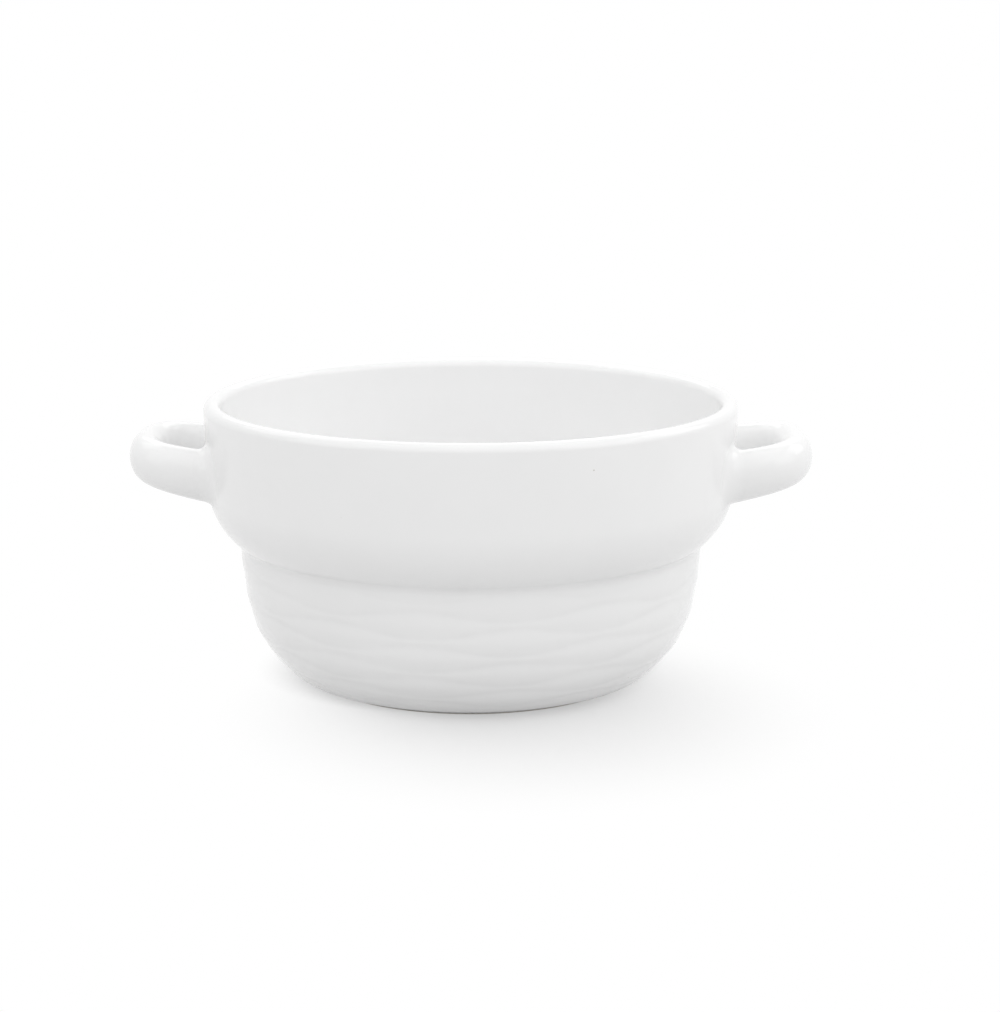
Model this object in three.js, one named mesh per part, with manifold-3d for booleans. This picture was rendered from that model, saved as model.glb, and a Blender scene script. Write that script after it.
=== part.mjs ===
// A porcelain soup bowl with two loop handles, in millimetres, +Z up.
// The origin is on the table under the middle of the bowl, and the handles point along -X and +X.
import * as THREE from "three";
import { LoftGeometry } from "three/addons/geometries/LoftGeometry.js";
import { mergeVertices } from "three/addons/utils/BufferGeometryUtils.js";
import Module from "manifold-3d";

// Bowl: collar, shoulder and lower wall
const RIM_DIAMETER = 125; // outside, at the lip
const BOWL_HEIGHT = 66; // table to the top of the lip
const WALL_THICKNESS = 4; // the lip is a half round of this thickness
const COLLAR_DRAFT = 2; // degrees that the collar opens upwards
const COLLAR_DEPTH = 19.4; // top of the lip down to the centre of the shoulder's round
const SHOULDER_RADIUS = 17;
const SHOULDER_SWEEP = 54; // degrees of the shoulder's round, from level down to the step
const STEP_FILLET = 1.2; // height of the hollow round where the lower wall meets the shoulder
const STEP_INSET = 0.4; // how far the lower wall stands back from the end of the shoulder
const LOWER_DRAFT = 4.9; // degrees that the lower wall opens upwards at its top
const UNDERSIDE_SLOPE = 40; // degrees from level at which the lower wall runs in over the foot
const EASE_AT_STEP = 0.49; // how long the lower wall keeps its draft, as a share of its chord
const EASE_AT_FOOT = 0.38; // how long it keeps its underside slope, as a share of its chord

// Bowl: foot ring and floor
const FOOT_DIAMETER = 77.5; // outside
const FOOT_WIDTH = 5; // across the ring
const FOOT_HEIGHT = 1.7; // table to the body that overhangs the ring
const FOOT_OVERHANG = 3.7; // body beyond the ring
const FOOT_ROUND = 0.6; // rounded edges of the ring
const FOOT_RECESS = 2; // hollow inside the ring
const FLOOR_THICKNESS = 4.5;
const FLOOR_DIAMETER = 68; // flat middle of the inside

// Relief on the lower wall: rows of long lens-shaped cells, each row shifted by half a cell
const CELLS_AROUND = 8;
const CELL_HEIGHT = 6.25; // along the wall, at the middle of a cell
const CELL_NECK = 1.85; // along the wall, between the ends of two cells
const CELL_RISE = 0.3; // middle of a cell above the grooves
const RELIEF_MARGIN = 0.15; // top of the lower wall down to the highest point of the first groove
const RELIEF_TURN = 11.25; // degrees from the front (-Y) to the middle of a cell of the first whole row

// Handles: flat loops of oval section
const HANDLE_PROJECTION = 17.5; // beyond the rim
const HANDLE_SPAN = 32; // between the centres of the two arms
const HANDLE_SQUARENESS = 2.9; // exponent of the loop's outline: 2 is an ellipse, more is squarer
const HANDLE_DROP = 16.1; // top of the lip down to the middle of the arms at the wall
const HANDLE_LIFT = 3; // how much higher the outer end is
const ROOT_HEIGHT = 12.1; // section at the wall
const ROOT_THICKNESS = 8.6;
const END_HEIGHT = 10.6; // section at the outer end
const END_THICKNESS = 7.6;
const SECTION_SQUARENESS = 2.05;
const ROOT_FLARE = 2.5; // radius at which each arm spreads onto the wall

// Joints between the handles and the wall
const SLIP_THICKNESS = 0.8; // layer of slip under each handle foot
const JOINT_GAP = 0.3; // clearance on each side of it

// Fineness of the surfaces
const TURN_STEPS = 64;
const SECTION_STEPS = 16;
const LOOP_STEPS = 16;
const FLARE_STEPS = 3; // over the radius of the flare
const CURVE_STEPS = 8; // along the inside's long curve
const ROUND_STEPS = 3; // an arc gets twice as many
const EDGE_STEPS = 1; // the same for the small rounds of the foot ring
const CELL_SHARES = [0.25, 0.75]; // places across a cell that carry its swelling

const { degToRad, lerp } = THREE.MathUtils;
const wasm = await Module();
wasm.setup();

// A closed geometry as a solid that can be cut.
function solidOf(geometry) {
  const bare = new THREE.BufferGeometry();
  bare.setAttribute("position", geometry.getAttribute("position"));
  bare.setIndex(geometry.index);
  const merged = mergeVertices(bare);
  const mesh = new wasm.Mesh({
    numProp: 3,
    vertProperties: merged.attributes.position.array,
    triVerts: new Uint32Array(merged.index.array),
  });
  return new wasm.Manifold(mesh);
}

// A cut solid as a geometry again.
function geometryOf(solid) {
  const mesh = solid.getMesh();
  const geometry = new THREE.BufferGeometry();
  geometry.setAttribute("position", new THREE.BufferAttribute(mesh.vertProperties, 3));
  geometry.setIndex(new THREE.BufferAttribute(mesh.triVerts, 1));
  geometry.computeVertexNormals();
  return geometry;
}

// Outlines are pairs of radius and height.
const point = (radius, height) => new THREE.Vector2(radius, height);
const heading = (angle) => point(Math.cos(angle), Math.sin(angle));
const along = (start, direction, distance) => start.clone().addScaledVector(direction, distance);

const rimRadius = RIM_DIAMETER / 2;
const footRadius = FOOT_DIAMETER / 2;
const lipRadius = WALL_THICKNESS / 2;
const floorHeight = FOOT_RECESS + FLOOR_THICKNESS;
const draft = degToRad(COLLAR_DRAFT);
const sweep = degToRad(SHOULDER_SWEEP);
const lowerDraft = degToRad(LOWER_DRAFT);

// The shoulder's round touches the collar, which runs straight up to the lip.
const collarTop = point(rimRadius, BOWL_HEIGHT - lipRadius);
const collarFacing = heading(-draft);
const shoulderHeight = BOWL_HEIGHT - COLLAR_DEPTH;
const collarLean = (collarTop.y - shoulderHeight) * Math.sin(draft);
const shoulderCentre = point(
  rimRadius - (SHOULDER_RADIUS + collarLean) / Math.cos(draft),
  shoulderHeight,
);
const stepCorner = along(shoulderCentre, heading(-sweep), SHOULDER_RADIUS);

// The lower wall is one smooth curve from under the shoulder to the foot ring.
const lowerTop = point(stepCorner.x - STEP_INSET, stepCorner.y - STEP_FILLET);
const lowerEnd = point(footRadius + FOOT_OVERHANG, FOOT_HEIGHT);
const lowerFacing = heading(-lowerDraft);
const downTheWall = point(-Math.sin(lowerDraft), -Math.cos(lowerDraft));
const lowerChord = lowerTop.distanceTo(lowerEnd);
const lowerWall = new THREE.CubicBezierCurve(
  lowerTop,
  along(lowerTop, downTheWall, EASE_AT_STEP * lowerChord),
  along(lowerEnd, heading(degToRad(UNDERSIDE_SLOPE)), EASE_AT_FOOT * lowerChord),
  lowerEnd,
);
const lowerLength = lowerWall.getLength();

// A place on the lower wall, given its distance from the top and its height above the grooves.
function onLowerWall(distance, rise) {
  const share = distance / lowerLength;
  const tangent = lowerWall.getTangentAt(share);
  return along(lowerWall.getPointAt(share), point(-tangent.y, tangent.x), rise);
}

// Grooves of the relief, numbered from the top: each swings up and down against the next one.
const rowPitch = (CELL_HEIGHT + CELL_NECK) / 2;
const grooveSwing = (CELL_HEIGHT - CELL_NECK) / 4;
const firstGroove = RELIEF_MARGIN + grooveSwing;
const grooveCount = Math.floor((lowerLength - firstGroove - grooveSwing) / rowPitch) + 1;
function grooveAt(number, turn) {
  const swing = Math.cos(CELLS_AROUND * (turn - degToRad(RELIEF_TURN)) + number * Math.PI);
  return firstGroove + number * rowPitch - grooveSwing * swing;
}

// The lines around the lower wall that the relief bends at, from the top to the foot ring.
function reliefLines() {
  const edges = [() => 0];
  for (let number = 0; number < grooveCount; number += 1) {
    edges.push((turn) => grooveAt(number, turn));
  }
  edges.push(() => lowerLength);
  const lines = [];
  edges.forEach((upper, index) => {
    lines.push((turn) => onLowerWall(upper(turn), 0));
    const lower = edges[index + 1];
    if (!lower) return;
    for (const share of CELL_SHARES) {
      lines.push((turn) => {
        const width = lower(turn) - upper(turn);
        return onLowerWall(upper(turn) + share * width, (CELL_RISE * width) / CELL_HEIGHT);
      });
    }
  });
  return lines;
}

// Under the bowl: from the axis out to the flat face of the foot ring and up its outside.
function footOutline() {
  const inner = footRadius - FOOT_WIDTH;
  const quarter = Math.PI / 2;
  const outline = new THREE.Path();
  outline.moveTo(0, FOOT_RECESS);
  outline.lineTo(inner - FOOT_RECESS / 2, FOOT_RECESS);
  outline.lineTo(inner, FOOT_ROUND);
  outline.absarc(inner + FOOT_ROUND, FOOT_ROUND, FOOT_ROUND, 2 * quarter, 3 * quarter, false);
  outline.lineTo(footRadius - FOOT_ROUND, 0);
  outline.absarc(footRadius - FOOT_ROUND, FOOT_ROUND, FOOT_ROUND, -quarter, 0, false);
  outline.lineTo(footRadius, FOOT_HEIGHT);
  return outline;
}

// Above the relief: hollow round, shoulder, collar, lip, and the inside down to its own soft step.
function upperOutline() {
  const insideRadius = SHOULDER_RADIUS - WALL_THICKNESS;
  const filletEnd = -sweep + STEP_FILLET / SHOULDER_RADIUS;
  const filletCorner = point(lowerTop.x + STEP_FILLET * Math.tan(lowerDraft), stepCorner.y);
  const filletStop = along(shoulderCentre, heading(filletEnd), SHOULDER_RADIUS);
  const outline = new THREE.Path();
  outline.moveTo(lowerTop.x, lowerTop.y);
  outline.quadraticCurveTo(filletCorner.x, filletCorner.y, filletStop.x, filletStop.y);
  outline.absarc(shoulderCentre.x, shoulderCentre.y, SHOULDER_RADIUS, filletEnd, -draft, false);
  outline.lineTo(collarTop.x, collarTop.y);
  outline.absarc(collarTop.x - lipRadius, collarTop.y, lipRadius, 0, Math.PI, false);
  outline.absarc(shoulderCentre.x, shoulderCentre.y, insideRadius, -draft, -sweep, true);
  outline.absarc(stepCorner.x, stepCorner.y, WALL_THICKNESS, Math.PI - sweep, Math.PI - lowerDraft, false);
  return outline;
}

// The inside below its soft step: one smooth curve onto the flat floor, and in to the axis.
function insideOutline() {
  const top = along(lowerTop, lowerFacing, -WALL_THICKNESS);
  const floorEdge = point(FLOOR_DIAMETER / 2, floorHeight);
  const chord = top.distanceTo(floorEdge);
  const wallEase = along(top, downTheWall, EASE_AT_STEP * chord);
  const floorEase = point(floorEdge.x + EASE_AT_FOOT * chord, floorHeight);
  const outline = new THREE.Path();
  outline.moveTo(top.x, top.y);
  outline.bezierCurveTo(wallEase.x, wallEase.y, floorEase.x, floorEase.y, floorEdge.x, floorEdge.y);
  outline.lineTo(0, floorHeight);
  return outline;
}

// The bowl is a stack of rings. Those of the lower wall swing with the relief.
function bowlGeometry() {
  const fixed = (place) => () => place;
  const lines = [
    ...footOutline().getPoints(EDGE_STEPS).map(fixed),
    ...reliefLines().reverse(),
    ...upperOutline().getPoints(ROUND_STEPS).slice(1).map(fixed),
    ...insideOutline().getPoints(CURVE_STEPS).map(fixed),
  ];
  const turns = Array.from({ length: TURN_STEPS }, (_, step) => (2 * Math.PI * step) / TURN_STEPS);
  const rings = lines.map((line) =>
    turns.map((turn) => {
      const place = line(turn);
      return new THREE.Vector3(place.x * Math.sin(turn), -place.x * Math.cos(turn), place.y);
    }),
  );
  return new LoftGeometry(rings);
}

// Everything inside the collar and shoulder, let out by an offset: it trims what sits on the wall.
function wallTrimmer(offset) {
  const outline = new THREE.Path();
  const start = along(shoulderCentre, heading(-sweep), SHOULDER_RADIUS + offset);
  const end = along(collarTop, collarFacing, offset);
  outline.moveTo(0, start.y);
  outline.lineTo(start.x, start.y);
  outline.absarc(shoulderCentre.x, shoulderCentre.y, SHOULDER_RADIUS + offset, -sweep, -draft, false);
  outline.lineTo(end.x, end.y);
  outline.lineTo(end.x, BOWL_HEIGHT + offset);
  outline.lineTo(0, BOWL_HEIGHT + offset);
  const turned = new THREE.LatheGeometry(outline.getPoints(ROUND_STEPS), TURN_STEPS);
  return solidOf(turned.rotateX(Math.PI / 2));
}

// One handle with both its feet, long enough to run into the wall, pointing along +X.
function handleForm() {
  const halfSpan = HANDLE_SPAN / 2;
  const root = Math.sqrt(rimRadius ** 2 - halfSpan ** 2);
  const reach = rimRadius + HANDLE_PROJECTION - END_THICKNESS / 2 - root;
  const power = (value, exponent) => Math.sign(value) * Math.abs(value) ** exponent;
  const flareAt = (clearance) => {
    const left = THREE.MathUtils.clamp(1 - clearance / ROOT_FLARE, 0, 1);
    return ROOT_FLARE * (1 - Math.sqrt(1 - left ** 2));
  };

  // A ring of the oval section at a place on the loop, where facing is the way out of the loop.
  // Each point of it spreads as it nears the wall.
  const section = (x, y, facing) => {
    const share = Math.max(0, (x - root) / reach);
    const height = lerp(ROOT_HEIGHT, END_HEIGHT, share) / 2;
    const thickness = lerp(ROOT_THICKNESS, END_THICKNESS, share) / 2;
    const middle = BOWL_HEIGHT - HANDLE_DROP + HANDLE_LIFT * share;
    return Array.from({ length: SECTION_STEPS }, (_, step) => {
      const angle = (2 * Math.PI * step) / SECTION_STEPS;
      const outward = power(Math.cos(angle), 2 / SECTION_SQUARENESS);
      const upward = power(-Math.sin(angle), 2 / SECTION_SQUARENESS);
      const plainX = x + thickness * outward * facing.x;
      const plainY = y + thickness * outward * facing.y;
      const spread = flareAt(Math.hypot(plainX, plainY) - rimRadius);
      const out = (thickness + spread) * outward;
      const up = (height + spread) * upward;
      return new THREE.Vector3(x + out * facing.x, y + out * facing.y, middle + up);
    });
  };
  const loopSection = (angle) => {
    const x = Math.cos(angle) ** (2 / HANDLE_SQUARENESS);
    const y = power(Math.sin(angle), 2 / HANDLE_SQUARENESS);
    const facing = point(
      x ** (HANDLE_SQUARENESS - 1) / reach,
      power(y, HANDLE_SQUARENESS - 1) / halfSpan,
    );
    return section(root + reach * x, halfSpan * y, facing.normalize());
  };

  // Each arm starts deep in the wall, spreads as it leaves it, and then follows the loop.
  const angleAt = (distance) => Math.acos((distance / reach) ** (HANDLE_SQUARENESS / 2));
  const armSection = (distance, side) => {
    if (distance > 0) return loopSection(side * angleAt(distance));
    return section(root + distance, side * halfSpan, point(0, side));
  };
  const armDistances = [-ROOT_THICKNESS - ROOT_FLARE];
  for (let step = -2 * FLARE_STEPS; step < FLARE_STEPS; step += 1) {
    armDistances.push((ROOT_FLARE * step) / FLARE_STEPS);
  }
  const loopStart = angleAt(ROOT_FLARE);
  const loopAngles = [];
  for (let step = 0; step <= LOOP_STEPS; step += 1) {
    loopAngles.push(lerp(-loopStart, loopStart, step / LOOP_STEPS));
  }
  const rings = [
    ...armDistances.map((distance) => armSection(distance, -1)),
    ...loopAngles.map(loopSection),
    ...armDistances.reverse().map((distance) => armSection(distance, 1)),
  ];
  return solidOf(new LoftGeometry(rings, { capStart: true, capEnd: true }));
}

// The half of space on one side of the handle's middle, as large as the bowl needs.
function sideBlock(side) {
  const block = new THREE.BoxGeometry(2 * RIM_DIAMETER, RIM_DIAMETER, 2 * BOWL_HEIGHT);
  return solidOf(block.translate(0, (side * RIM_DIAMETER) / 2, BOWL_HEIGHT));
}

function glazedPorcelain() {
  return new THREE.MeshStandardMaterial({ color: 0xf2f2f2, roughness: 0.12, metalness: 0 });
}

function glazedSlip() {
  return new THREE.MeshStandardMaterial({ color: 0xf0f0ef, roughness: 0.15, metalness: 0 });
}

function piece(name, geometry, material) {
  const mesh = new THREE.Mesh(geometry, material);
  mesh.name = name;
  return mesh;
}

const form = handleForm();
const underSlip = wallTrimmer(JOINT_GAP);
const overSlip = wallTrimmer(JOINT_GAP + SLIP_THICKNESS);
const underHandle = wallTrimmer(2 * JOINT_GAP + SLIP_THICKNESS);
const handle = geometryOf(form.subtract(underHandle));
const slipLayer = form.intersect(overSlip).subtract(underSlip);
const slipAtMinusY = geometryOf(slipLayer.intersect(sideBlock(-1)));
const slipAtPlusY = geometryOf(slipLayer.intersect(sideBlock(1)));

// The right handle points along +X. The left one is the same, turned half round.
function handleGroup(name, turn, slipFront, slipBack) {
  const group = new THREE.Group();
  group.rotation.z = turn;
  group.add(
    piece(`handle_${name}`, handle, glazedPorcelain()),
    piece(`slip_joint_${name}_front`, slipFront, glazedSlip()),
    piece(`slip_joint_${name}_back`, slipBack, glazedSlip()),
  );
  return group;
}

const soupBowl = new THREE.Group();
soupBowl.name = "soup_bowl";
soupBowl.add(
  piece("bowl_body", bowlGeometry(), glazedPorcelain()),
  handleGroup("right", 0, slipAtMinusY, slipAtPlusY),
  handleGroup("left", Math.PI, slipAtPlusY, slipAtMinusY),
);

export default soupBowl;
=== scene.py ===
# A white glazed porcelain soup bowl with two loop handles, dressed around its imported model.
# The bowl stands on z = 0, the handles point along -X and +X, and the front faces -Y.
import math
from bisect import bisect_right
from itertools import accumulate

import bmesh
import bpy
from mathutils import Matrix, Vector
from mathutils.geometry import interpolate_bezier


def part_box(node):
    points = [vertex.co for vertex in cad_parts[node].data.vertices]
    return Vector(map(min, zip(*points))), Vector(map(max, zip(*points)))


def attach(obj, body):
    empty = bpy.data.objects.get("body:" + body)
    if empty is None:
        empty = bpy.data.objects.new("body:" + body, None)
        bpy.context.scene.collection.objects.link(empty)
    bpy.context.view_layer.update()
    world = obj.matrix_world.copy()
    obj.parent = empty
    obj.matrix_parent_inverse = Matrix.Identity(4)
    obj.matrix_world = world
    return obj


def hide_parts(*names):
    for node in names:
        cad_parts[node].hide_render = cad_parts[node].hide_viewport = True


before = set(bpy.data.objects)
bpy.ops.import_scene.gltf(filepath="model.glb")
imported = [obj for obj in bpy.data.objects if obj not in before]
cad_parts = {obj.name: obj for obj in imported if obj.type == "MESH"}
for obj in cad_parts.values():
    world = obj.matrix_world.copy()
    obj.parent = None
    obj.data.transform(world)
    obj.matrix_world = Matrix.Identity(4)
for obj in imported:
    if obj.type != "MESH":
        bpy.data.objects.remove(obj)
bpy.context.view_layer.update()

MM = 0.001
QUARTER = math.pi / 2

# Bowl: rim and height from the frame, then the section, as the solid has it
rim_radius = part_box("bowl_body")[1].x
bowl_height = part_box("bowl_body")[1].z
WALL = 4 * MM
COLLAR_DRAFT = math.radians(2)
COLLAR_DEPTH = 19.4 * MM  # top of the lip down to the centre of the shoulder's round
SHOULDER_RADIUS = 17 * MM
SHOULDER_SWEEP = math.radians(54)
STEP_FILLET = 1.2 * MM
STEP_INSET = 0.4 * MM
LOWER_DRAFT = math.radians(4.9)
UNDERSIDE_SLOPE = math.radians(40)
EASE_AT_STEP = 0.49  # how far the lower wall keeps straight at its ends, as a share of its chord
EASE_AT_FOOT = 0.38
EASE_IN_FILLET = 2 / 3
FOOT_RADIUS = 38.75 * MM
FOOT_WIDTH = 5 * MM
FOOT_HEIGHT = 1.7 * MM
FOOT_OVERHANG = 3.7 * MM
FOOT_ROUND = 0.6 * MM
FOOT_RECESS = 2 * MM
RECESS_RUN = 2 * FOOT_RECESS  # width of the hollow round inside the foot ring
RECESS_EASE_ABOVE = FOOT_RECESS / 2
RECESS_EASE_BELOW = FOOT_RECESS / 4
FLOOR_THICKNESS = 4.5 * MM
FLOOR_RADIUS = 34 * MM
BARE_FOOT = 0.35 * MM  # height up to which the foot ring is wiped free of glaze

# Relief on the lower wall: rows of long lens-shaped cells between swinging grooves
CELLS_AROUND = 8
CELL_HEIGHT = 6.25 * MM
CELL_NECK = 1.85 * MM
CELL_RISE = 0.22 * MM  # less than the solid's, because glaze fills the grooves
RELIEF_MARGIN = 0.15 * MM
RELIEF_TURN = math.radians(11.25)
GROOVES = 8
GROOVE_HALF_WIDTH = 1.2 * MM
GROOVE_ROUND = 1.2 * MM
ROW_PITCH = (CELL_HEIGHT + CELL_NECK) / 2
GROOVE_SWING = (CELL_HEIGHT - CELL_NECK) / 4
PILLOW = 0.5  # share of a cell's rise that swells softly from edge to edge
POOL_AND_SHADE_HALF_WIDTH = 0.7 * MM  # glaze that pools along a groove, and painted shade in it
POOL_AND_SHADE_DEPTH = 0.2  # how much of the pooled grey, partly painted shade, shows in the middle of a groove
STEP_POOL_AND_SHADE_ABOVE = 5 * MM  # glaze that gathers in the hollow under the shoulder, and painted shade there
STEP_POOL_AND_SHADE_BELOW = 0.3 * MM
STEP_POOL_AND_SHADE_DEPTH = 0.15

# Handles: flat loops of oval section, joined to the wall by fillets of slip
handle_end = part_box("handle_right")[1].x
HANDLE_SPAN = 32 * MM
HANDLE_SQUARENESS = 2.9
HANDLE_DROP = 16.1 * MM  # top of the lip down to the middle of a root
HANDLE_LIFT = 3 * MM
ROOT_HEIGHT = 12.1 * MM
ROOT_THICKNESS = 8.6 * MM
END_HEIGHT = 10.6 * MM
END_THICKNESS = 7.6 * MM
SECTION_SQUARENESS = 2.05
ARM_IN_WALL = 2.4 * MM  # how deep the arms reach into the wall
SLIP_OUTSIDE = 4.5 * MM  # reach of its hollow round on the outer side of an arm
SLIP_INSIDE = 2.5 * MM
SLIP_ABOVE = 2.5 * MM
SLIP_UNDER = 1.2 * MM
SLIP_DEPTH = 0.4 * MM  # how deep the slip is bedded in the wall and in the handle
SLIP_EDGE = 0.003 * MM  # thickness of its feathered edges

# Fineness of the meshes
TURN_STEPS = 320
ROW_STEPS = 11
END_ROW_STEPS = 5
RELIEF_CROWDING = 0.75  # how much steps crowd towards the grooves
SLIP_CROWDING = 0.95  # how much they crowd towards the edges of the slip
ARC_STEP = math.radians(4)
CURVE_STEPS = 32
SHORT_CURVE_STEPS = 8
RUN_STEPS = 400
TANGENT_REACH = 0.2 * MM
LOOP_STEPS = 112
SECTION_STEPS = 48
SLIP_TURN_STEPS = 96
SLIP_ARC_STEPS = 20
SLIP_ROUNDS = 8  # rounds in which a point of the slip is brought to its distance from the wall
SHARP_EDGE = math.radians(40)
SAME_PLACE = 0.001 * MM

# Finishes: colours, and sizes of what shows in them
PORCELAIN = ("#F8F8F8", "#F5F5F5")  # under thin and under thick glaze
SLIP = ("#F8F8F8", "#F4F4F4")
# grey of glaze pooled in hollows; in the grooves and under the shoulder it is also painted shade
POOLED_GLAZE_AND_SHADE = "#E8E8E8"
IRON_SPECK = "#B4ADA2"
BISCUIT = ("#E9E4DA", "#D8D1C4")
CERAMIC_IOR = 1.5
GLAZE_CLOUD = 14 * MM  # soft clouds in the thickness of the glaze
GLOSS_CLOUDS = (0.3, 0.7)  # the clouds' values between which its roughness changes
GLAZE_ROUGHNESS = (0.09, 0.15)
POOL_AND_SHADE_CLOUDS = (0.35, 0.65)  # the clouds' values between which pools and their painted shade grow stronger
POOL_AND_SHADE_STRENGTH = (0.3, 1.3)
GLAZE_WAVE = 9 * MM  # its slow waves, which bend reflections
GLAZE_WAVE_HEIGHT = 0.05 * MM
GLAZE_RIPPLE = 1.6 * MM  # the fine skin over them
GLAZE_RIPPLE_HEIGHT = 0.003 * MM
SPECK_SPACING = 9 * MM
SPECK_RADIUS = 0.18 * MM
SPECK_CORE = 0.4  # share of the radius within which a speck has its full colour
SPECK_SHARE = 0.05  # share of the places that hold a speck
BISCUIT_ROUGHNESS = 0.85
BISCUIT_GRAIN = 0.35 * MM  # coarser than real grains, so that it shows
BISCUIT_GRAIN_HEIGHT = 0.03 * MM

# Studio
PAPER = "#DEDEDE"
WHITE = "#FFFFFF"
FLOOR_SIZE = 4.0
FLOOR_WHITE = 0.43  # share of painted white in the floor as it is seen, within the shadows
SHADOWS = (
    # middle, and the distances from it at which painted white begins to cover the floor's shadow
    # and covers it all
    ((0.013, -0.035, 0), 0.01, 0.073),  # in front and to the right
    ((0, 0, 0), 0.035, 0.053),  # close round the foot
)
AMBIENT = 0.61  # strength of the even light from all round
LAMPS = (
    # name, position, width and height of the panel, watts
    ("panel_above", (0.0, -0.7, 1.3), (2.0, 2.0), 7.1),
    ("panel_left", (-1.15, -0.6, 0.7), (1.0, 1.0), 1.8),
    ("panel_right", (1.15, -0.6, 0.7), (1.0, 1.0), 2.3),
    ("window_left", (-0.9, 0.45, 1.1), (0.8, 0.8), 1.6),
    ("window_right", (1.1, 0.35, 0.8), (0.8, 0.8), 2.6),
    ("window_behind", (0.0, 1.0, 0.9), (1.2, 0.8), 2.4),
)
LAMP_AIM = Vector((0, 0, 0.03))
CAMERA_PLACE = (0.01108, -0.52745, 0.15266)
CAMERA_PITCH = 0.2111
CAMERA_YAW = 0.0081
CAMERA_FOCUS = 80.83  # millimetres, on a sensor of 36


def linear(code):
    """An sRGB hex colour as linear red, green and blue, with an alpha of 1."""
    shares = [int(code[place : place + 2], 16) / 255 for place in (1, 3, 5)]
    return [s / 12.92 if s <= 0.04045 else ((s + 0.055) / 1.055) ** 2.4 for s in shares] + [1.0]


def add_node(tree, kind, links=None, values=None, **settings):
    """Adds a node with its properties and socket values. A link names a node and its output."""
    node = tree.nodes.new(kind)
    for name, value in settings.items():
        setattr(node, name, value)
    sockets = {socket.identifier: socket for socket in node.inputs}
    for name, value in (values or {}).items():
        sockets[name].default_value = value
    for name, (source, output) in (links or {}).items():
        outputs = {socket.identifier: socket for socket in source.outputs}
        tree.links.new(outputs[output], sockets[name])
    return node


def empty_material(name):
    """A material whose nodes are still to be added."""
    material = bpy.data.materials.new(name)
    material.use_nodes = True
    material.node_tree.nodes.clear()
    return material


def glaze_colour(tree, place, cloud, thin, thick):
    """The white clay as it shows through the glaze, with grey pools that are partly painted shade,
    and a few iron specks.
    """
    body = add_node(
        tree,
        "ShaderNodeMix",
        {"Factor_Float": (cloud, "Fac")},
        {"A_Color": linear(thin), "B_Color": linear(thick)},
        data_type="RGBA",
    )
    # pooled glaze, partly painted shade, as the bowl's mesh lays it on
    pool_and_shade = add_node(tree, "ShaderNodeAttribute", attribute_name="glaze_pool_and_shade")
    strength = add_node(
        tree,
        "ShaderNodeMapRange",
        {"Value": (cloud, "Fac")},
        {
            "From Min": POOL_AND_SHADE_CLOUDS[0],
            "From Max": POOL_AND_SHADE_CLOUDS[1],
            "To Min": POOL_AND_SHADE_STRENGTH[0],
            "To Max": POOL_AND_SHADE_STRENGTH[1],
        },
    )
    uneven = add_node(
        tree,
        "ShaderNodeMath",
        {"Value": (pool_and_shade, "Fac"), "Value_001": (strength, "Result")},
        operation="MULTIPLY",
    )
    pooled_and_shaded = add_node(
        tree,
        "ShaderNodeMix",
        {"Factor_Float": (uneven, "Value"), "A_Color": (body, "Result_Color")},
        {"B_Color": linear(POOLED_GLAZE_AND_SHADE)},
        data_type="RGBA",
    )
    specks = add_node(
        tree,
        "ShaderNodeTexVoronoi",
        {"Vector": (place, "Object")},
        {"Scale": 1 / SPECK_SPACING},
    )
    dot = add_node(
        tree,
        "ShaderNodeMapRange",
        {"Value": (specks, "Distance")},
        {
            "From Min": SPECK_CORE * SPECK_RADIUS / SPECK_SPACING,
            "From Max": SPECK_RADIUS / SPECK_SPACING,
            "To Min": 1,
            "To Max": 0,
        },
    )
    draw = add_node(tree, "ShaderNodeSeparateColor", {"Color": (specks, "Color")})
    chosen = add_node(
        tree,
        "ShaderNodeMath",
        {"Value": (draw, "Red")},
        {"Value_001": SPECK_SHARE},
        operation="LESS_THAN",
    )
    shown = add_node(
        tree,
        "ShaderNodeMath",
        {"Value": (dot, "Result"), "Value_001": (chosen, "Value")},
        operation="MULTIPLY",
    )
    return add_node(
        tree,
        "ShaderNodeMix",
        {"Factor_Float": (shown, "Value"), "A_Color": (pooled_and_shaded, "Result_Color")},
        {"B_Color": linear(IRON_SPECK)},
        data_type="RGBA",
    )


def glaze_skin(tree, place):
    """The slow waves of the glaze, with fine ripples over them."""
    waves = add_node(
        tree,
        "ShaderNodeTexNoise",
        {"Vector": (place, "Object")},
        {"Scale": 1 / GLAZE_WAVE, "Detail": 1},
    )
    ripples = add_node(
        tree,
        "ShaderNodeTexNoise",
        {"Vector": (place, "Object")},
        {"Scale": 1 / GLAZE_RIPPLE, "Detail": 2},
    )
    slow = add_node(
        tree,
        "ShaderNodeBump",
        {"Height": (waves, "Fac")},
        {"Strength": 1, "Distance": GLAZE_WAVE_HEIGHT},
    )
    return add_node(
        tree,
        "ShaderNodeBump",
        {"Height": (ripples, "Fac"), "Normal": (slow, "Normal")},
        {"Strength": 1, "Distance": GLAZE_RIPPLE_HEIGHT},
    )


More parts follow.
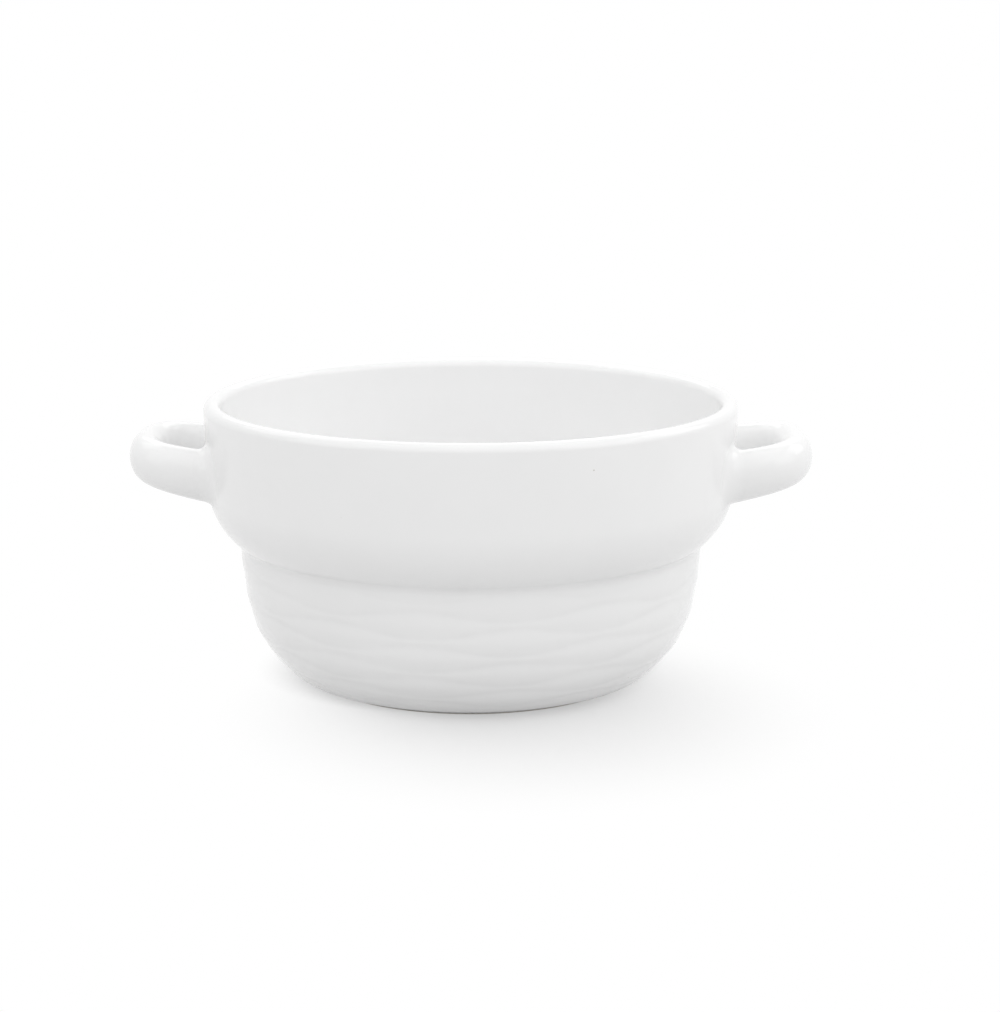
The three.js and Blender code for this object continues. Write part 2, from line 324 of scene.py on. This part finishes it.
def glazed_clay(name, thin, thick):
    """White clay under a clear gloss glaze, fired together.

    The glaze is glass, so it mirrors the lamps, and the room at a slant. It is never quite even:
    its thickness clouds the white and the gloss, it pools grey in hollows, in some places more
    than in others, and a few iron specks show in it. The grey in the grooves and in the hollow
    under the shoulder is also painted shade.
    """
    material = empty_material(name)
    tree = material.node_tree
    place = add_node(tree, "ShaderNodeTexCoord")
    cloud = add_node(
        tree,
        "ShaderNodeTexNoise",
        {"Vector": (place, "Object")},
        {"Scale": 1 / GLAZE_CLOUD, "Detail": 3, "Roughness": 0.55},
    )
    gloss = add_node(
        tree,
        "ShaderNodeMapRange",
        {"Value": (cloud, "Fac")},
        {
            "From Min": GLOSS_CLOUDS[0],
            "From Max": GLOSS_CLOUDS[1],
            "To Min": GLAZE_ROUGHNESS[0],
            "To Max": GLAZE_ROUGHNESS[1],
        },
    )
    shader = add_node(
        tree,
        "ShaderNodeBsdfPrincipled",
        {
            "Base Color": (glaze_colour(tree, place, cloud, thin, thick), "Result_Color"),
            "Roughness": (gloss, "Result"),
            "Normal": (glaze_skin(tree, place), "Normal"),
        },
        {"IOR": CERAMIC_IOR},
    )
    add_node(tree, "ShaderNodeOutputMaterial", {"Surface": (shader, "BSDF")})
    return material


def biscuit(light, dark):
    """Unglazed porcelain: fired clay without its glass is dull, warm white and faintly sandy."""
    material = empty_material("unglazed_porcelain")
    tree = material.node_tree
    place = add_node(tree, "ShaderNodeTexCoord")
    grain = add_node(
        tree,
        "ShaderNodeTexNoise",
        {"Vector": (place, "Object")},
        {"Scale": 1 / BISCUIT_GRAIN, "Detail": 4, "Roughness": 0.6},
    )
    body = add_node(
        tree,
        "ShaderNodeMix",
        {"Factor_Float": (grain, "Fac")},
        {"A_Color": linear(light), "B_Color": linear(dark)},
        data_type="RGBA",
    )
    rough = add_node(
        tree,
        "ShaderNodeBump",
        {"Height": (grain, "Fac")},
        {"Strength": 1, "Distance": BISCUIT_GRAIN_HEIGHT},
    )
    shader = add_node(
        tree,
        "ShaderNodeBsdfPrincipled",
        {"Base Color": (body, "Result_Color"), "Normal": (rough, "Normal")},
        {"Roughness": BISCUIT_ROUGHNESS, "IOR": CERAMIC_IOR},
    )
    add_node(tree, "ShaderNodeOutputMaterial", {"Surface": (shader, "BSDF")})
    return material


# The bowl's section is worked out as places of radius and height
def heading(angle):
    """A step of length 1 in the section, at an angle above the way out."""
    return Vector((math.cos(angle), math.sin(angle)))


def arc(centre, radius, start, end):
    """Places along an arc, both ends included."""
    sweep = end - start
    steps = max(2, math.ceil(abs(sweep) / ARC_STEP))
    return [centre + radius * heading(start + sweep * step / steps) for step in range(steps + 1)]


half_wall = WALL / 2
floor_height = FOOT_RECESS + FLOOR_THICKNESS
collar_top = Vector((rim_radius, bowl_height - half_wall))
shoulder_height = bowl_height - COLLAR_DEPTH
collar_lean = (collar_top.y - shoulder_height) * math.sin(COLLAR_DRAFT)
shoulder_centre = Vector(
    (rim_radius - (SHOULDER_RADIUS + collar_lean) / math.cos(COLLAR_DRAFT), shoulder_height)
)
step_corner = shoulder_centre + SHOULDER_RADIUS * heading(-SHOULDER_SWEEP)
lower_top = step_corner - Vector((STEP_INSET, STEP_FILLET))
lower_end = Vector((FOOT_RADIUS + FOOT_OVERHANG, FOOT_HEIGHT))
down_the_wall = Vector((-math.sin(LOWER_DRAFT), -math.cos(LOWER_DRAFT)))
lower_chord = (lower_top - lower_end).length
lower_line = interpolate_bezier(
    lower_top,
    lower_top + EASE_AT_STEP * lower_chord * down_the_wall,
    lower_end + EASE_AT_FOOT * lower_chord * heading(UNDERSIDE_SLOPE),
    lower_end,
    RUN_STEPS + 1,
)
lower_run = [0.0, *accumulate((b - a).length for a, b in zip(lower_line, lower_line[1:]))]
lower_length = lower_run[-1]


def along_lower_wall(distance):
    """The place on the lower wall at a distance from its top."""
    index = min(max(bisect_right(lower_run, distance), 1), RUN_STEPS)
    before, after = lower_run[index - 1], lower_run[index]
    return lower_line[index - 1].lerp(lower_line[index], (distance - before) / (after - before))


def on_lower_wall(distance, rise):
    """The same, standing off the wall by a rise."""
    ahead = along_lower_wall(min(distance + TANGENT_REACH, lower_length))
    behind = along_lower_wall(max(distance - TANGENT_REACH, 0))
    tangent = (ahead - behind).normalized()
    return along_lower_wall(distance) + rise * Vector((-tangent.y, tangent.x))


def groove_at(number, turn):
    """How far down the wall a groove runs. Each swings against the next one."""
    if number < 0:
        return 0.0
    if number >= GROOVES:
        return lower_length
    swing = math.cos(CELLS_AROUND * (turn - RELIEF_TURN) + number * math.pi)
    return RELIEF_MARGIN + GROOVE_SWING + number * ROW_PITCH - GROOVE_SWING * swing


def relief_at(row, share, turn):
    """Place on the relief, and how much glaze has pooled there, partly painted shade in the
    grooves. The first groove holds none.
    """
    upper = groove_at(row - 1, turn)
    width = groove_at(row, turn) - upper
    from_upper = share * width if row > 1 else CELL_HEIGHT
    from_lower = (1 - share) * width if 0 < row < GROOVES else CELL_HEIGHT
    to_edge = math.hypot(min(share, 1 - share) * width, GROOVE_ROUND) - GROOVE_ROUND
    to_middle = math.hypot(width / 2, GROOVE_ROUND) - GROOVE_ROUND
    edge = 1 - math.exp(-to_edge / GROOVE_HALF_WIDTH)
    swelling = PILLOW * math.sin(QUARTER * to_edge / to_middle) + (1 - PILLOW) * edge
    pool_and_shade = POOL_AND_SHADE_DEPTH * math.exp(-((min(from_upper, from_lower) / POOL_AND_SHADE_HALF_WIDTH) ** 2))
    return on_lower_wall(upper + share * width, CELL_RISE * width / CELL_HEIGHT * swelling), pool_and_shade


def crowded(share, crowding):
    """Moves a share between 0 and 1 towards the nearer end."""
    return share - crowding * math.sin(2 * math.pi * share) / (2 * math.pi)


def relief_shares():
    """Row and share of every ring on the lower wall, from its top down to the foot."""
    rings = []
    for row in range(GROOVES + 1):
        steps = END_ROW_STEPS if row in (0, GROOVES) else ROW_STEPS
        for step in range(steps):
            rings.append((row, crowded(step / steps, RELIEF_CROWDING)))
    return [*rings, (GROOVES, 1.0)]


def foot_section():
    """Under the bowl, from the axis out over the foot ring to the overhanging wall."""
    inner = FOOT_RADIUS - FOOT_WIDTH
    outer_round = Vector((FOOT_RADIUS - FOOT_ROUND, FOOT_ROUND))
    inner_round = Vector((inner + FOOT_ROUND, FOOT_ROUND))
    return [
        Vector((0, FOOT_RECESS)),
        Vector((inner / 2, FOOT_RECESS)),
        *interpolate_bezier(
            Vector((inner - RECESS_RUN, FOOT_RECESS)),
            Vector((inner - RECESS_EASE_ABOVE, FOOT_RECESS)),
            Vector((inner - RECESS_EASE_BELOW, FOOT_RECESS)),
            Vector((inner, FOOT_ROUND)),
            SHORT_CURVE_STEPS,
        ),
        *arc(inner_round, FOOT_ROUND, 2 * QUARTER, 3 * QUARTER)[1:],
        *arc(outer_round, FOOT_ROUND, -QUARTER, 0),
    ]


def upper_section():
    """Hollow round over the relief, shoulder, collar, lip and inside, back to the axis."""
    fillet_end = -SHOULDER_SWEEP + STEP_FILLET / SHOULDER_RADIUS
    fillet_corner = Vector((lower_top.x + STEP_FILLET * math.tan(LOWER_DRAFT), step_corner.y))
    fillet_stop = shoulder_centre + SHOULDER_RADIUS * heading(fillet_end)
    inside_top = lower_top - WALL * heading(-LOWER_DRAFT)
    floor_edge = Vector((FLOOR_RADIUS, floor_height))
    chord = (inside_top - floor_edge).length
    inside_round = SHOULDER_RADIUS - WALL
    return [
        *interpolate_bezier(
            lower_top,
            lower_top.lerp(fillet_corner, EASE_IN_FILLET),
            fillet_stop.lerp(fillet_corner, EASE_IN_FILLET),
            fillet_stop,
            SHORT_CURVE_STEPS,
        )[1:-1],
        *arc(shoulder_centre, SHOULDER_RADIUS, fillet_end, -COLLAR_DRAFT),
        *arc(collar_top - Vector((half_wall, 0)), half_wall, 0, math.pi),
        *arc(shoulder_centre, inside_round, -COLLAR_DRAFT, -SHOULDER_SWEEP),
        *arc(step_corner, WALL, math.pi - SHOULDER_SWEEP, math.pi - LOWER_DRAFT)[1:-1],
        *interpolate_bezier(
            inside_top,
            inside_top + EASE_AT_STEP * chord * down_the_wall,
            floor_edge + Vector((EASE_AT_FOOT * chord, 0)),
            floor_edge,
            CURVE_STEPS,
        ),
        Vector((floor_edge.x / 2, floor_height)),
        Vector((0, floor_height)),
    ]


def bowl_mesh():
    """The section is spun round the axis, and its rings on the lower wall swing into the relief."""
    mesh = bmesh.new()
    row_of = mesh.verts.layers.int.new("row")
    share_of = mesh.verts.layers.float.new("share")
    # pooled glaze and painted shade, in the grooves and under the shoulder
    pool_and_shade_of = mesh.verts.layers.float.new("glaze_pool_and_shade")
    plain = GROOVES + 1
    rings = [(place, plain, 0.0) for place in foot_section()]
    for row, share in reversed(relief_shares()):
        rings.append((relief_at(row, share, 0.0)[0], row, share))
    rings += [(place, plain, 0.0) for place in upper_section()]
    verts = []
    for place, row, share in rings:
        vert = mesh.verts.new((place.x, 0, place.y))
        vert[row_of] = row
        vert[share_of] = share
        verts.append(vert)
    for ends in zip(verts, verts[1:]):
        mesh.edges.new(ends)
    bmesh.ops.spin(
        mesh,
        geom=mesh.verts[:] + mesh.edges[:],
        cent=(0, 0, 0),
        axis=(0, 0, 1),
        angle=2 * math.pi,
        steps=TURN_STEPS,
        use_merge=True,
    )
    bmesh.ops.remove_doubles(mesh, verts=mesh.verts, dist=SAME_PLACE)
    for vert in mesh.verts:
        turn = math.atan2(vert.co.x, -vert.co.y)
        place = Vector((vert.co.xy.length, vert.co.z))
        if vert[row_of] < plain:
            place, vert[pool_and_shade_of] = relief_at(vert[row_of], vert[share_of], turn)
            vert.co = (place.x * math.sin(turn), -place.x * math.cos(turn), place.y)
        # pooled glaze and painted shade in the hollow under the shoulder
        if vert[row_of] < plain or place.x > lower_top.x:
            reach = STEP_POOL_AND_SHADE_ABOVE if place.y > lower_top.y else STEP_POOL_AND_SHADE_BELOW
            gathered_pool_and_shade = STEP_POOL_AND_SHADE_DEPTH * math.exp(-(((place - lower_top).length / reach) ** 2))
            vert[pool_and_shade_of] = max(vert[pool_and_shade_of], gathered_pool_and_shade)
    for face in mesh.faces:
        if all(vert.co.z < BARE_FOOT for vert in face.verts):
            face.material_index = 1
    return mesh


def tube(stations, sides, place, closed):
    """A ring is extruded from station to station. place(station, side) says where a point goes."""
    mesh = bmesh.new()
    side_of = mesh.verts.layers.int.new("side")
    ring = bmesh.ops.create_circle(mesh, segments=sides, radius=1)["verts"]
    for side, vert in enumerate(ring):
        vert[side_of] = side
    edges = mesh.edges[:]
    for number, station in enumerate(stations):
        if number > 0:
            made = bmesh.ops.extrude_edge_only(mesh, edges=edges)["geom"]
            ring = [item for item in made if isinstance(item, bmesh.types.BMVert)]
            drawn = [item for item in made if isinstance(item, bmesh.types.BMEdge)]
            edges = [edge for edge in drawn if edge.is_boundary]
        for vert in ring:
            vert.co = place(station, vert[side_of])
    if closed:
        bmesh.ops.remove_doubles(mesh, verts=mesh.verts, dist=SAME_PLACE)
    else:
        bmesh.ops.holes_fill(mesh, edges=mesh.edges)
    return mesh


def squircle(angle, squareness):
    """A point of the rounded square of half width 1, in the direction of an angle."""
    x, y = math.cos(angle), math.sin(angle)
    reach = (abs(x) ** squareness + abs(y) ** squareness) ** (-1 / squareness)
    return Vector((reach * x, reach * y))


def squircle_facing(place, squareness, half_x, half_y):
    """The way out of a rounded oval at a point of it, given as shares of its half widths."""
    x = math.copysign(abs(place.x) ** (squareness - 1), place.x) / half_x
    y = math.copysign(abs(place.y) ** (squareness - 1), place.y) / half_y
    return Vector((x, y)).normalized()


half_span = HANDLE_SPAN / 2
root_reach = math.sqrt(rim_radius**2 - half_span**2)
loop_reach = handle_end - END_THICKNESS / 2 - root_reach


def handle_point(station, section_angle):
    """A point on the right handle's skin.

    A station is a turn round the loop, and beyond a quarter it runs straight into the wall.
    """
    turn = max(-QUARTER, min(QUARTER, station))
    into_wall = (abs(station) - abs(turn)) * loop_reach
    loop = squircle(turn, HANDLE_SQUARENESS)
    facing = squircle_facing(loop, HANDLE_SQUARENESS, loop_reach, half_span)
    share = max(0.0, loop.x)
    height = ROOT_HEIGHT + (END_HEIGHT - ROOT_HEIGHT) * share
    thickness = ROOT_THICKNESS + (END_THICKNESS - ROOT_THICKNESS) * share
    section = squircle(section_angle, SECTION_SQUARENESS)
    out = section.x * thickness / 2
    return Vector(
        (
            root_reach + loop_reach * loop.x - into_wall + out * facing.x,
            half_span * loop.y + out * facing.y,
            bowl_height - HANDLE_DROP + HANDLE_LIFT * share + section.y * height / 2,
        )
    )


def handle_mesh():
    """The loop of the right handle, with both arms carried on into the wall."""
    arm = ARM_IN_WALL / loop_reach
    stations = [-QUARTER - arm, -QUARTER - arm / 2]
    stations += [-QUARTER + math.pi * step / LOOP_STEPS for step in range(LOOP_STEPS + 1)]
    stations += [QUARTER + arm / 2, QUARTER + arm]
    turn = 2 * math.pi / SECTION_STEPS

    def place(station, side):
        return handle_point(station, turn * side)

    return tube(stations, SECTION_STEPS, place, False)


def wall_radius(height):
    """Outside radius of the collar and the shoulder."""
    above = height - shoulder_centre.y
    if above > -SHOULDER_RADIUS * math.sin(COLLAR_DRAFT):
        return collar_top.x - (collar_top.y - height) * math.tan(COLLAR_DRAFT)
    return shoulder_centre.x + math.sqrt(SHOULDER_RADIUS**2 - above**2)


def slip_mesh(side):
    """The fillet of slip round one foot of the right handle, at -Y or +Y.

    It is measured off the handle's skin and off the wall, so that it runs out flush on both.
    """
    # Behind the hollow round, its section has three bedded corners. Each lies out from the
    # handle's skin or under it, and out from the wall or under it
    corners = ((False, True), (False, False), (True, False))

    def place(angle, number):
        section = squircle(angle, SECTION_SQUARENESS)
        way = squircle_facing(section, SECTION_SQUARENESS, ROOT_THICKNESS / 2, ROOT_HEIGHT / 2)
        beside = SLIP_OUTSIDE if way.x > 0 else SLIP_INSIDE
        over = SLIP_ABOVE if way.y > 0 else SLIP_UNDER
        reach = beside * way.x**2 + over * way.y**2
        if number <= SLIP_ARC_STEPS:
            bend = QUARTER * crowded(number / SLIP_ARC_STEPS, SLIP_CROWDING)
            off_handle = reach * (1 - math.sin(bend)) + SLIP_EDGE
            off_wall = reach * (1 - math.cos(bend)) + SLIP_EDGE
        else:
            corner = corners[number - SLIP_ARC_STEPS - 1]
            off_handle, off_wall = (reach if out else -SLIP_DEPTH for out in corner)
        station = side * QUARTER
        for _ in range(SLIP_ROUNDS):
            skin = handle_point(station, angle)
            y = skin.y + side * way.x * off_handle
            z = skin.z + way.y * off_handle
            wanted = math.sqrt(wall_radius(z) ** 2 - y**2) + off_wall
            station -= side * (wanted - skin.x) / loop_reach
        return Vector((skin.x, y, z))

    stations = [2 * math.pi * step / SLIP_TURN_STEPS for step in range(SLIP_TURN_STEPS + 1)]
    return tube(stations, SLIP_ARC_STEPS + 1 + len(corners), place, True)


def mesh_object(name, mesh, materials):
    """Puts a finished mesh into the scene, with its materials."""
    data = bpy.data.meshes.new(name)
    mesh.to_mesh(data)
    mesh.free()
    for material in materials:
        data.materials.append(material)
    item = bpy.data.objects.new(name, data)
    bpy.context.scene.collection.objects.link(item)
    return item


def finished(name, mesh, materials, node, turn=0.0):
    """Makes a mesh a piece that stands for a node, turned about the bowl's axis."""
    bmesh.ops.rotate(mesh, verts=mesh.verts, cent=(0, 0, 0), matrix=Matrix.Rotation(turn, 3, "Z"))
    bmesh.ops.recalc_face_normals(mesh, faces=mesh.faces)
    piece = mesh_object(name, mesh, materials)
    piece.data.shade_smooth()
    piece.data.set_sharp_from_angle(angle=SHARP_EDGE)
    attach(piece, "root")
    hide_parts(node)


def soup_bowl():
    """The bowl, and on each side a handle with its two fillets of slip."""
    porcelain = glazed_clay("glazed_porcelain", *PORCELAIN)
    slip = glazed_clay("glazed_slip", *SLIP)
    bare = biscuit(*BISCUIT)
    finished("bowl", bowl_mesh(), [porcelain, bare], "bowl_body")
    for hand, turn, front in (("right", 0.0, -1), ("left", math.pi, 1)):
        finished(
            f"loop_handle_{hand}",
            handle_mesh(),
            [porcelain],
            f"handle_{hand}",
            turn,
        )
        for end, side in (("front", front), ("back", -front)):
            finished(
                f"slip_fillet_{hand}_{end}",
                slip_mesh(side),
                [slip],
                f"slip_joint_{hand}_{end}",
                turn,
            )


def seen(tree):
    """1 for rays that see a surface as the eye does: directly, mirrored or through glass."""
    path = add_node(tree, "ShaderNodeLightPath")
    mirrored = add_node(
        tree,
        "ShaderNodeMath",
        {"Value": (path, "Is Camera Ray"), "Value_001": (path, "Is Glossy Ray")},
        operation="MAXIMUM",
    )
    return add_node(
        tree,
        "ShaderNodeMath",
        {"Value": (mirrored, "Value"), "Value_001": (path, "Is Transmission Ray")},
        operation="MAXIMUM",
    )


def white_paper():
    """Matt white paper: it takes soft shadows and mirrors nothing.

    As it is seen, painted white is mixed into it: it keeps the shadows near the bowl and runs out
    to plain white round them, painting the shadows out there.
    """
    material = empty_material("white_paper")
    tree = material.node_tree
    paper = add_node(tree, "ShaderNodeBsdfDiffuse", values={"Color": linear(PAPER)})
    place = add_node(tree, "ShaderNodeTexCoord")
    turning_white = []
    for middle, start, end in SHADOWS:
        away = add_node(
            tree,
            "ShaderNodeVectorMath",
            {"Vector": (place, "Object")},
            {"Vector_001": middle},
            operation="DISTANCE",
        )
        turning_white.append(
            add_node(
                tree,
                "ShaderNodeMapRange",
                {"Value": (away, "Value")},
                {"From Min": start, "From Max": end, "To Min": FLOOR_WHITE, "To Max": 1},
                interpolation_type="SMOOTHSTEP",
            )
        )
    in_front, round_foot = turning_white
    whiteness = add_node(
        tree,
        "ShaderNodeMath",
        {"Value": (in_front, "Result"), "Value_001": (round_foot, "Result")},
        operation="MINIMUM",
    )
    share = add_node(
        tree,
        "ShaderNodeMath",
        {"Value": (whiteness, "Value"), "Value_001": (seen(tree), "Value")},
        operation="MULTIPLY",
    )
    # painted white, mixed into the floor as it is seen, paints out its shadow away from the bowl
    white = add_node(tree, "ShaderNodeEmission", values={"Color": linear(WHITE), "Strength": 1})
    both = add_node(
        tree,
        "ShaderNodeMixShader",
        {"Fac": (share, "Value"), "Shader": (paper, "BSDF"), "Shader_001": (white, "Emission")},
    )
    add_node(tree, "ShaderNodeOutputMaterial", {"Surface": (both, "Shader")})
    return material


def studio_world():
    """Even light from all round. As it is seen, it is plain white."""
    world = bpy.data.worlds.new("studio")
    world.use_nodes = True
    tree = world.node_tree
    tree.nodes.clear()
    level = add_node(
        tree,
        "ShaderNodeMapRange",
        {"Value": (seen(tree), "Value")},
        {"From Min": 0, "From Max": 1, "To Min": AMBIENT, "To Max": 1},
    )
    sky = add_node(
        tree,
        "ShaderNodeBackground",
        {"Strength": (level, "Result")},
        {"Color": linear(WHITE)},
    )
    add_node(tree, "ShaderNodeOutputWorld", {"Surface": (sky, "Background")})
    return world


def studio():
    """Floor, surroundings, lamps and camera."""
    scene = bpy.context.scene
    mesh = bmesh.new()
    bmesh.ops.create_grid(mesh, x_segments=1, y_segments=1, size=FLOOR_SIZE / 2)
    floor = mesh_object("floor", mesh, [white_paper()])
    scene.world = studio_world()

    for name, place, (width, height), watts in LAMPS:
        lamp = bpy.data.lights.new(name, "AREA")
        lamp.shape = "RECTANGLE"
        lamp.size = width
        lamp.size_y = height
        lamp.energy = watts
        stand = bpy.data.objects.new(name, lamp)
        stand.location = place
        stand.rotation_euler = (LAMP_AIM - Vector(place)).to_track_quat("-Z", "Y").to_euler()
        scene.collection.objects.link(stand)

    lens = bpy.data.cameras.new("camera")
    lens.lens = CAMERA_FOCUS
    camera = bpy.data.objects.new("camera", lens)
    camera.location = CAMERA_PLACE
    camera.rotation_euler = (QUARTER - CAMERA_PITCH, 0, CAMERA_YAW)
    scene.collection.objects.link(camera)
    scene.camera = camera
    scene.view_settings.view_transform = "Standard"


soup_bowl()
studio()
